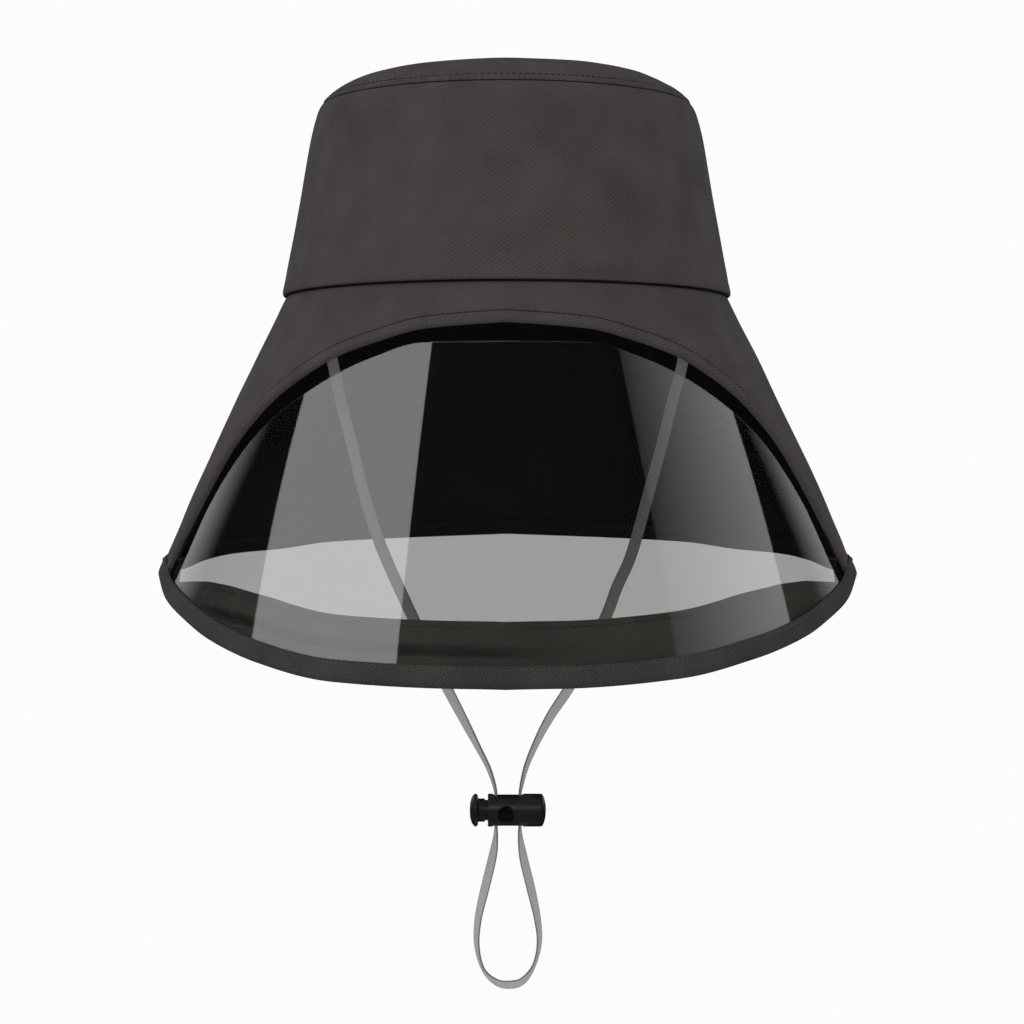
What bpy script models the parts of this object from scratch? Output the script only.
"""A sun hat with a long skirt-like brim, a see-through window in its front and a chin strap with a cord lock.

Metres, +Z up. The front faces -Y. The origin is the underside of the crown's top panel, where a head carries it.
"""

import math

import bmesh
import bpy
from mathutils import Vector

# Cloth and clearances
CLOTH = 0.002
FILM_THICKNESS = 0.0005
CHIN_BAND_CLOTH = 0.0012
BINDING_CLOTH = 0.001
GAP = 0.0003

# Crown. Each of its ovals has a half width along X and a half length along Y.
TOP_HALF_WIDTH = 0.0763
TOP_HALF_LENGTH = 0.0812
CROWN_HALF_WIDTH = 0.0925
CROWN_HALF_LENGTH = 0.0984
CROWN_SIDE_HEIGHT = 0.0785
DOME_HEIGHT = 0.014

# Brim. It is a skirt between an oval under the crown and the rim, which is lifted a little in front on the right.
BRIM_TOP_INSET = 0.0017
RIM_HALF_WIDTH = 0.1432
RIM_FRONT = 0.156
RIM_BACK = 0.139
BRIM_FRONT_DROP = 0.1521
BRIM_BACK_DROP = 0.0973
BRIM_BULGE = 0.0016
RIM_LIFT = 0.0016
RIM_LIFT_FROM = 8
RIM_LIFT_TO = 66

# Window, film and chin band. Angles are from the front, in degrees. The band ends where the film does.
WINDOW_CORNER = 75.3
FILM_CORNER = 69.5
CHIN_BAND_HEIGHT = 0.0255
BINDING_HEIGHT = 0.008
BINDING_ROUNDING = 0.0009

# Chin strap. It hangs in the plane Y = STRAP_Y.
STRAP_Y = -0.05
STRAP_WIDTH = 0.0046
STRAP_THICKNESS = 0.0012
STRAP_POINTS = 78

# Cord lock. Its axis runs along X through (0, STRAP_Y, LOCK_Z), and lengths are along X from there.
LOCK_Z = -0.2973
LEFT_STRAND = -0.0042
RIGHT_STRAND = 0.0053
LOCK_CLEARANCE = 0.0003
BARREL_RADIUS = 0.0065
BARREL_WALL = 0.0016
BARREL_LEFT = -0.0074
BARREL_LENGTH = 0.023
BARREL_END_WALL = 0.002
BARREL_CHAMFER = 0.0003
SIGHT_HOLE_RADIUS = 0.0034
SIGHT_HOLE_X = -0.0002
SIGHT_HOLE_BELOW = 0.0012
PLUNGER_TRAVEL = 0.0035
FLANGE_GAP = 0.0039
FLANGE_RADIUS = 0.0065
FLANGE_THICKNESS = 0.0033
PLUNGER_END_WALL = 0.0022

# Facets. From the share CORNER_FROM on, each row of the window's and the film's tables has a column of its own.
COLUMN_STEP = 6
CORNER_FROM = 0.9
BRIM_LEVELS = 4
CHIN_BAND_LEVELS = 2
ROUND_SIDES = 32

# How wide the crown's side is between its top width, 0, and its full width, 1
CROWN_SIDE_ROWS = (
    # (share of the height, share of the widening)
    (0.0, 0.98),
    (0.026, 1.0),
    (0.1, 0.945),
    (0.5, 0.57),
    (0.78, 0.345),
    (0.89, 0.23),
    (0.96, 0.12),
    (1.0, 0.0),
)

# The top panel, from its edge to its middle
DOME_ROWS = (
    # (share of the radius, share of the rise)
    (1.0, 0.0),
    (0.993, 0.06),
    (0.96, 0.235),
    (0.9, 0.455),
    (0.8, 0.703),
    (0.62, 0.91),
    (0.35, 0.99),
    (0.0, 1.0),
)

# How far the rim hangs between its drop at the back, 0, and at the front, 1
RIM_DROP_ROWS = (
    # (degrees from the front, share of the extra drop)
    (0, 1.0),
    (27, 0.955),
    (41, 0.849),
    (53, 0.709),
    (61.5, 0.582),
    (70, 0.468),
    (80, 0.312),
    (103, 0.257),
    (113.5, 0.188),
    (121, 0.151),
    (134, 0.117),
    (145, 0.064),
    (180, 0.0),
)

# The window's arch, from the middle of the front to the corner
WINDOW_ROWS = (
    # (share of the corner's angle, share of the way down the brim)
    (0.0, 0.105),
    (0.25, 0.121),
    (0.4, 0.153),
    (0.55, 0.2),
    (0.65, 0.253),
    (0.75, 0.322),
    (0.83, 0.405),
    (0.9, 0.505),
    (0.95, 0.645),
    (0.985, 0.82),
    (1.0, 1.0),
)

# The film's free top edge, which lies a little under the arch
FILM_ROWS = (
    # (share of the film corner's angle, share of the way down the brim)
    (0.0, 0.157),
    (0.27, 0.16),
    (0.43, 0.197),
    (0.58, 0.257),
    (0.75, 0.363),
    (0.84, 0.45),
    (0.91, 0.565),
    (0.96, 0.7),
    (0.985, 0.87),
    (1.0, 0.955),
)

# The chin band's height above the rim
CHIN_BAND_ROWS = (
    # (share of the film corner's angle, share of its height)
    (0.0, 1.0),
    (0.57, 1.0),
    (0.71, 0.925),
    (0.82, 0.784),
    (0.94, 0.51),
    (1.0, 0.25),
)

# The domed right end of the lock's barrel
BARREL_END_ROWS = (
    # (share of the radius back from the tip, share of the radius)
    (0.0, 0.0),
    (0.05, 0.5),
    (0.16, 0.85),
    (0.3, 1.0),
)

# The plunger's flange, from the middle of its pressed face to its back
FLANGE_ROWS = (
    # (share of its thickness in front of the back, share of its radius)
    (1.0, 0.0),
    (0.95, 0.45),
    (0.75, 0.8),
    (0.42, 1.0),
    (0.2, 1.0),
    (0.0, 0.88),
)

# The strap from the left seam through the lock, round the loop and back to the right seam.
# Face is how far its flat side is turned to the front: 0 is edge-on, 90 is face-on.
STRAP_ROUTE = (
    # (x, z, face in degrees)
    (-0.0743, -0.0791, 30),
    (-0.0745, -0.0861, 30),
    (-0.0737, -0.0931, 36),
    (-0.0718, -0.1051, 75),
    (-0.0687, -0.1211, 90),
    (-0.0645, -0.1401, 90),
    (-0.0606, -0.1551, 90),
    (-0.0565, -0.1721, 90),
    (-0.0511, -0.1891, 90),
    (-0.0458, -0.2021, 90),
    (-0.0366, -0.2221, 82),
    (-0.0255, -0.2451, 74),
    (-0.0175, -0.2606, 66),
    (-0.0115, -0.2721, 55),
    (-0.0072, -0.2806, 35),
    (-0.0047, -0.2881, 6),
    (LEFT_STRAND, LOCK_Z + 0.0045, 0),
    (LEFT_STRAND, LOCK_Z - 0.0045, 0),
    (-0.0043, -0.3076, 12),
    (-0.0055, -0.3156, 50),
    (-0.0085, -0.3281, 72),
    (-0.0112, -0.3401, 65),
    (-0.0118, -0.3506, 52),
    (-0.0094, -0.3601, 30),
    (-0.0042, -0.3654, 42),
    (0.0015, -0.3665, 58),
    (0.0066, -0.3648, 46),
    (0.011, -0.3585, 32),
    (0.013, -0.3496, 46),
    (0.0122, -0.3401, 62),
    (0.0097, -0.3286, 66),
    (0.0068, -0.3166, 42),
    (0.0054, -0.3076, 12),
    (RIGHT_STRAND, LOCK_Z - 0.0045, 0),
    (RIGHT_STRAND, LOCK_Z + 0.0045, 0),
    (0.0058, -0.2881, 6),
    (0.008, -0.2796, 35),
    (0.0123, -0.2696, 55),
    (0.0177, -0.2596, 66),
    (0.0249, -0.2486, 74),
    (0.0333, -0.2326, 80),
    (0.0398, -0.2196, 86),
    (0.0437, -0.2091, 90),
    (0.0487, -0.1981, 90),
    (0.0527, -0.1851, 90),
    (0.0567, -0.1701, 90),
    (0.0614, -0.1531, 90),
    (0.0658, -0.1351, 90),
    (0.0694, -0.1216, 90),
    (0.0722, -0.1051, 75),
    (0.0737, -0.0931, 36),
    (0.0745, -0.0861, 30),
    (0.0743, -0.0791, 30),
)

# Sizes that follow from the ones above. The origin is the underside of the dome's middle.
DOME_EDGE_Z = CLOTH - DOME_HEIGHT
CROWN_SIDE_TOP_Z = DOME_EDGE_Z - GAP
CROWN_SIDE_BASE_Z = CROWN_SIDE_TOP_Z - CROWN_SIDE_HEIGHT
BRIM_TOP_Z = CROWN_SIDE_BASE_Z - GAP
BRIM_TOP_HALF_WIDTH = CROWN_HALF_WIDTH - BRIM_TOP_INSET
BRIM_TOP_HALF_LENGTH = CROWN_HALF_LENGTH - BRIM_TOP_INSET
RIM_SLOT = CLOTH + 2 * GAP
EDGE_INSET = BINDING_CLOTH + GAP


def clear_scene():
    for obj in list(bpy.data.objects):
        bpy.data.objects.remove(obj)


def new_material(name, colour, roughness, alpha=1.0):
    material = bpy.data.materials.new(name)
    material.use_nodes = True
    shader = material.node_tree.nodes["Principled BSDF"]
    shader.inputs["Base Color"].default_value = (*colour, 1.0)
    shader.inputs["Roughness"].default_value = roughness
    shader.inputs["Metallic"].default_value = 0.0
    shader.inputs["Alpha"].default_value = alpha
    return material


def slopes(rows):
    """The slope at each row of a table, level at its turns, so that a curve through the rows has no bumps."""
    steps = [(b[1] - a[1]) / (b[0] - a[0]) for a, b in zip(rows, rows[1:])]
    inner = [0.0 if p * q <= 0 else 2 * p * q / (p + q) for p, q in zip(steps, steps[1:])]
    return [steps[0], *inner, steps[-1]]


def smooth(rows, x):
    """The value at x on a smooth curve through a table's rows."""
    x = min(max(x, rows[0][0]), rows[-1][0])
    at = next(i for i in range(len(rows) - 1) if x <= rows[i + 1][0])
    (x0, y0), (x1, y1) = rows[at], rows[at + 1]
    slope = slopes(rows)
    width = x1 - x0
    t = (x - x0) / width
    return (
        y0 * (1 + 2 * t) * (1 - t) ** 2
        + slope[at] * width * t * (1 - t) ** 2
        + y1 * t * t * (3 - 2 * t)
        + slope[at + 1] * width * t * t * (t - 1)
    )


def oval(half_width, half_length, degrees, z):
    """A point on an oval, at an angle from the front."""
    angle = math.radians(degrees)
    return Vector((half_width * math.sin(angle), -half_length * math.cos(angle), z))


def rim_lift(degrees):
    """How far the rim is lifted between the front and the right side."""
    share = (degrees - RIM_LIFT_FROM) / (RIM_LIFT_TO - RIM_LIFT_FROM)
    return RIM_LIFT * math.sin(math.pi * share) ** 2 if 0 < share < 1 else 0


def rim_point(degrees):
    """A point on the rim's lower edge, which hangs lower at the front."""
    angle = math.radians(degrees)
    away = abs((degrees + 180) % 360 - 180)
    reach = RIM_FRONT if math.cos(angle) > 0 else RIM_BACK
    extra = smooth(RIM_DROP_ROWS, away) * (BRIM_FRONT_DROP - BRIM_BACK_DROP)
    z = BRIM_TOP_Z - BRIM_BACK_DROP - extra + rim_lift(degrees)
    return Vector((RIM_HALF_WIDTH * math.sin(angle), -reach * math.cos(angle), z))


def brim_top(degrees):
    """A point on the brim's upper edge, under the crown."""
    return oval(BRIM_TOP_HALF_WIDTH, BRIM_TOP_HALF_LENGTH, degrees, BRIM_TOP_Z)


def brim_line(degrees, share):
    """A point on the brim's outer face without its bulge, at a share of the way down."""
    return brim_top(degrees).lerp(rim_point(degrees), share)


def brim_normal(degrees, share):
    """The direction straight out of the brim's outer face."""
    step = 0.5
    along = brim_line(degrees + step, share) - brim_line(degrees - step, share)
    down = rim_point(degrees) - brim_top(degrees)
    return down.cross(along).normalized()


def brim_point(degrees, share, depth=0.0):
    """A point at a depth under the brim's outer face."""
    bulge = BRIM_BULGE * 4 * share * (1 - share)
    return brim_line(degrees, share) + brim_normal(degrees, share) * (bulge - depth)


def share_above_rim(degrees, height):
    """The share of the way down the brim at a height above the rim, measured along the slope."""
    length = (rim_point(degrees) - brim_top(degrees)).length
    return 1 - height / length


def window_share(degrees):
    """The share of the way down at which the brim's cloth ends."""
    away = abs((degrees + 180) % 360 - 180)
    lowest = share_above_rim(degrees, EDGE_INSET)
    if away >= WINDOW_CORNER:
        return lowest
    return min(smooth(WINDOW_ROWS, away / WINDOW_CORNER), lowest)


def even_circle():
    """Angles all round in even steps."""
    count = round(360 / COLUMN_STEP)
    return [-180 + 360 * i / count for i in range(count)]


def brim_angles(corner=180):
    """The columns of all that lies on the brim, closer together near the corners of the film and the window."""
    right = [FILM_CORNER * share for share, down in FILM_ROWS if share > CORNER_FROM]
    right += [WINDOW_CORNER * share for share, down in WINDOW_ROWS if share > CORNER_FROM]
    extras = right + [-angle for angle in right]
    near = COLUMN_STEP / 5
    even = [a for a in even_circle() if all(abs(a - e) > near for e in extras)]
    return sorted(a for a in even + extras if abs(a) <= corner)


def even_shares(levels):
    """Shares from 0 to 1 in even steps."""
    return [i / levels for i in range(levels + 1)]


def link(obj, material):
    bpy.context.scene.collection.objects.link(obj)
    obj.data.materials.append(material)
    return obj


def sheet(name, rows, closed, thickness, material):
    """A wall of even thickness under a grid of points. A row of one point is the middle of a fan."""
    mesh = bpy.data.meshes.new(name)
    grid = bmesh.new()
    made = [[grid.verts.new(point) for point in row] for row in rows]
    for upper, lower in zip(made, made[1:]):
        count = max(len(upper), len(lower))
        for i in range(count if closed else count - 1):
            j = (i + 1) % count
            if len(lower) == 1:
                corners = (upper[j], upper[i], lower[0])
            else:
                corners = (upper[j], upper[i], lower[i], lower[j])
            grid.faces.new(corners)
    grid.to_mesh(mesh)
    grid.free()
    mesh.shade_smooth()
    obj = link(bpy.data.objects.new(name, mesh), material)
    solid = obj.modifiers.new("Thickness", "SOLIDIFY")
    solid.thickness = thickness
    solid.offset = -1
    solid.use_even_offset = True
    solid.use_quality_normals = True
    return obj


def crown_top(material):
    rows = []
    for radius, rise in DOME_ROWS[:-1]:
        width = TOP_HALF_WIDTH * radius
        length = TOP_HALF_LENGTH * radius
        z = DOME_EDGE_Z + DOME_HEIGHT * rise
        rows.append([oval(width, length, a, z) for a in reversed(even_circle())])
    rows.append([Vector((0, 0, DOME_EDGE_Z + DOME_HEIGHT))])
    return sheet("crown_top", rows, True, CLOTH, material)


def crown_side(material):
    rows = []
    for height, widening in CROWN_SIDE_ROWS:
        width = TOP_HALF_WIDTH + (CROWN_HALF_WIDTH - TOP_HALF_WIDTH) * widening
        length = TOP_HALF_LENGTH + (CROWN_HALF_LENGTH - TOP_HALF_LENGTH) * widening
        z = CROWN_SIDE_BASE_Z + CROWN_SIDE_HEIGHT * height
        rows.append([oval(width, length, a, z) for a in reversed(even_circle())])
    return sheet("crown_side", rows, True, CLOTH, material)


def brim(material):
    angles = brim_angles()
    rows = []
    for share in even_shares(BRIM_LEVELS):
        rows.append([brim_point(a, share * window_share(a)) for a in angles])
    return sheet("brim", rows, True, CLOTH, material)


def window_film(material):
    angles = brim_angles(FILM_CORNER)
    rows = []
    for share in even_shares(BRIM_LEVELS):
        row = []
        for a in angles:
            top = smooth(FILM_ROWS, abs(a) / FILM_CORNER)
            bottom = share_above_rim(a, EDGE_INSET)
            row.append(brim_point(a, top + (bottom - top) * share))
        rows.append(row)
    return sheet("window_film", rows, False, FILM_THICKNESS, material)


def chin_band(material):
    angles = brim_angles(FILM_CORNER)
    depth = FILM_THICKNESS + GAP
    rows = []
    for share in even_shares(CHIN_BAND_LEVELS):
        row = []
        for a in angles:
            height = CHIN_BAND_HEIGHT * smooth(CHIN_BAND_ROWS, abs(a) / FILM_CORNER)
            top = share_above_rim(a, height)
            bottom = share_above_rim(a, EDGE_INSET)
            row.append(brim_point(a, top + (bottom - top) * share, depth))
        rows.append(row)
    return sheet("chin_band", rows, False, CHIN_BAND_CLOTH, material)


def rim_binding(material):
    """Tape folded round the rim. Its fold is the lowest edge of the hat."""
    outer = -GAP - BINDING_CLOTH
    inner = outer + RIM_SLOT + 2 * BINDING_CLOTH
    profile = (
        # (height above the rim, depth under the brim's outer face)
        (BINDING_HEIGHT, outer),
        (BINDING_ROUNDING, outer),
        (0, outer + BINDING_ROUNDING),
        (0, inner - BINDING_ROUNDING),
        (BINDING_ROUNDING, inner),
        (BINDING_HEIGHT, inner),
    )
    angles = brim_angles()
    rows = []
    for height, depth in profile:
        rows.append([brim_point(a, share_above_rim(a, height), depth) for a in angles])
    return sheet("rim_binding", rows, True, BINDING_CLOTH, material)


def strap_samples(count):
    """Evenly spaced (x, z, face) along a smooth curve through the route's points."""
    route = [Vector(row) for row in STRAP_ROUTE]
    ends = [2 * route[0] - route[1], *route, 2 * route[-1] - route[-2]]
    fine = []
    steps = 12
    for a, b, c, d in zip(ends, ends[1:], ends[2:], ends[3:]):
        for i in range(steps):
            t = i / steps
            curve = (2 * b + (c - a) * t + (2 * a - 5 * b + 4 * c - d) * t**2 + (3 * b - a - 3 * c + d) * t**3) / 2
            fine.append(curve)
    fine.append(route[-1])
    travelled = [0.0]
    for a, b in zip(fine, fine[1:]):
        travelled.append(travelled[-1] + (b - a).xy.length)
    samples = []
    at = 0
    for i in range(count):
        target = travelled[-1] * i / (count - 1)
        while at < len(fine) - 2 and travelled[at + 1] < target:
            at += 1
        share = (target - travelled[at]) / (travelled[at + 1] - travelled[at])
        samples.append(fine[at].lerp(fine[at + 1], min(share, 1)))
    return samples


def chin_strap(material):
    curve = bpy.data.curves.new("chin_strap", "CURVE")
    curve.dimensions = "3D"
    curve.twist_mode = "Z_UP"
    curve.bevel_depth = STRAP_THICKNESS / 2
    curve.extrude = (STRAP_WIDTH - STRAP_THICKNESS) / 2
    curve.bevel_resolution = 2
    curve.use_fill_caps = True
    line = curve.splines.new("POLY")
    line.points.add(STRAP_POINTS - 1)
    for point, (x, z, face) in zip(line.points, strap_samples(STRAP_POINTS)):
        point.co = (x, z, 0, 1)
        point.tilt = -math.radians(face)
    obj = link(bpy.data.objects.new("chin_strap", curve), material)
    obj.location = (0, STRAP_Y, 0)
    obj.rotation_euler = (math.pi / 2, 0, 0)
    return obj


def turned(name, profile, material):
    """A round piece about the lock's axis, from (x, radius) points that start and end on the axis."""
    mesh = bpy.data.meshes.new(name)
    made = bmesh.new()
    rings = []
    for x, radius in profile:
        if radius == 0:
            rings.append([made.verts.new((x, 0, 0))])
            continue
        turns = [2 * math.pi * i / ROUND_SIDES for i in range(ROUND_SIDES)]
        rings.append([made.verts.new((x, radius * math.cos(t), radius * math.sin(t))) for t in turns])
    for one, two in zip(rings, rings[1:]):
        for i in range(ROUND_SIDES):
            j = (i + 1) % ROUND_SIDES
            if len(one) == 1:
                made.faces.new((one[0], two[j], two[i]))
            elif len(two) == 1:
                made.faces.new((one[i], one[j], two[0]))
            else:
                made.faces.new((one[i], one[j], two[j], two[i]))
    bmesh.ops.recalc_face_normals(made, faces=made.faces)
    made.to_mesh(mesh)
    made.free()
    mesh.shade_smooth()
    mesh.set_sharp_from_angle(angle=math.radians(35))
    obj = link(bpy.data.objects.new(name, mesh), material)
    obj.location = (0, STRAP_Y, LOCK_Z)
    return obj


def cut(target, name, cutter_mesh):
    """Cuts a shape, given in the lock's own place, out of a piece of the lock."""
    cutter = bpy.data.objects.new(name, cutter_mesh)
    bpy.context.scene.collection.objects.link(cutter)
    cutter.location = (0, STRAP_Y, LOCK_Z)
    cutter.hide_render = True
    cutter.display_type = "WIRE"
    boolean = target.modifiers.new(name, "BOOLEAN")
    boolean.operation = "DIFFERENCE"
    boolean.solver = "EXACT"
    boolean.object = cutter


def slot_mesh(name, left, right):
    """A box through the whole lock from top to bottom, wide enough for the strap."""
    mesh = bpy.data.meshes.new(name)
    box = bmesh.new()
    bmesh.ops.create_cube(box, size=1)
    width = STRAP_WIDTH + 2 * LOCK_CLEARANCE
    bmesh.ops.scale(box, vec=(right - left, width, 4 * BARREL_RADIUS), verts=box.verts)
    bmesh.ops.translate(box, vec=((left + right) / 2, 0, 0), verts=box.verts)
    box.to_mesh(mesh)
    box.free()
    return mesh


def sight_hole_mesh(name):
    """A round hole through the barrel's front wall, which ends inside the bore."""
    mesh = bpy.data.meshes.new(name)
    rod = bmesh.new()
    bmesh.ops.create_cone(
        rod,
        cap_ends=True,
        segments=24,
        radius1=SIGHT_HOLE_RADIUS,
        radius2=SIGHT_HOLE_RADIUS,
        depth=2 * BARREL_RADIUS,
    )
    bmesh.ops.rotate(rod, matrix=Vector((0, 1, 0)).to_track_quat("Z", "Y").to_matrix(), verts=rod.verts)
    bmesh.ops.translate(rod, vec=(SIGHT_HOLE_X, -BARREL_RADIUS, -SIGHT_HOLE_BELOW), verts=rod.verts)
    rod.to_mesh(mesh)
    rod.free()
    return mesh


def strand_edges():
    """Where the strands' outer faces lie inside the lock, with their clearance."""
    half = STRAP_THICKNESS / 2 + LOCK_CLEARANCE
    return LEFT_STRAND - half, RIGHT_STRAND + half


def cord_lock_barrel(material):
    right = BARREL_LEFT + BARREL_LENGTH
    bore = BARREL_RADIUS - BARREL_WALL
    domed_end = [(right - back * BARREL_RADIUS, radius * BARREL_RADIUS) for back, radius in BARREL_END_ROWS]
    profile = (
        *domed_end,
        (BARREL_LEFT + BARREL_CHAMFER, BARREL_RADIUS),
        (BARREL_LEFT, BARREL_RADIUS - BARREL_CHAMFER),
        (BARREL_LEFT, bore),
        (right - BARREL_END_WALL, bore),
        (right - BARREL_END_WALL, 0),
    )
    obj = turned("cord_lock_barrel", profile, material)
    left_edge, right_edge = strand_edges()
    cut(obj, "barrel_strap_slot", slot_mesh("barrel_strap_slot", left_edge - GAP, right_edge + GAP))
    cut(obj, "barrel_sight_hole", sight_hole_mesh("barrel_sight_hole"))
    return obj


def cord_lock_plunger(material):
    """The plunger. Its slot is longer than the barrel's by its travel, so it slides past the strands."""
    stem = BARREL_RADIUS - BARREL_WALL - LOCK_CLEARANCE
    neck = BARREL_LEFT - FLANGE_GAP
    left_edge, right_edge = strand_edges()
    flange = [(neck - front * FLANGE_THICKNESS, radius * FLANGE_RADIUS) for front, radius in FLANGE_ROWS]
    profile = (
        *flange,
        (neck, stem),
        (right_edge + PLUNGER_END_WALL, stem),
        (right_edge + PLUNGER_END_WALL, 0),
    )
    obj = turned("cord_lock_plunger", profile, material)
    slot = slot_mesh("plunger_strap_slot", left_edge - PLUNGER_TRAVEL, right_edge)
    cut(obj, "plunger_strap_slot", slot)
    return obj


def build():
    clear_scene()
    cloth = new_material("cloth", (0.052, 0.046, 0.045), 0.85)
    tape = new_material("tape", (0.045, 0.04, 0.039), 0.85)
    film = new_material("film", (0.3, 0.29, 0.29), 0.08, 0.55)
    strap = new_material("strap", (0.27, 0.26, 0.26), 0.7)
    plastic = new_material("plastic", (0.012, 0.012, 0.012), 0.4)
    crown_top(cloth)
    crown_side(cloth)
    brim(cloth)
    window_film(film)
    chin_band(cloth)
    rim_binding(tape)
    chin_strap(strap)
    cord_lock_barrel(plastic)
    cord_lock_plunger(plastic)


build()
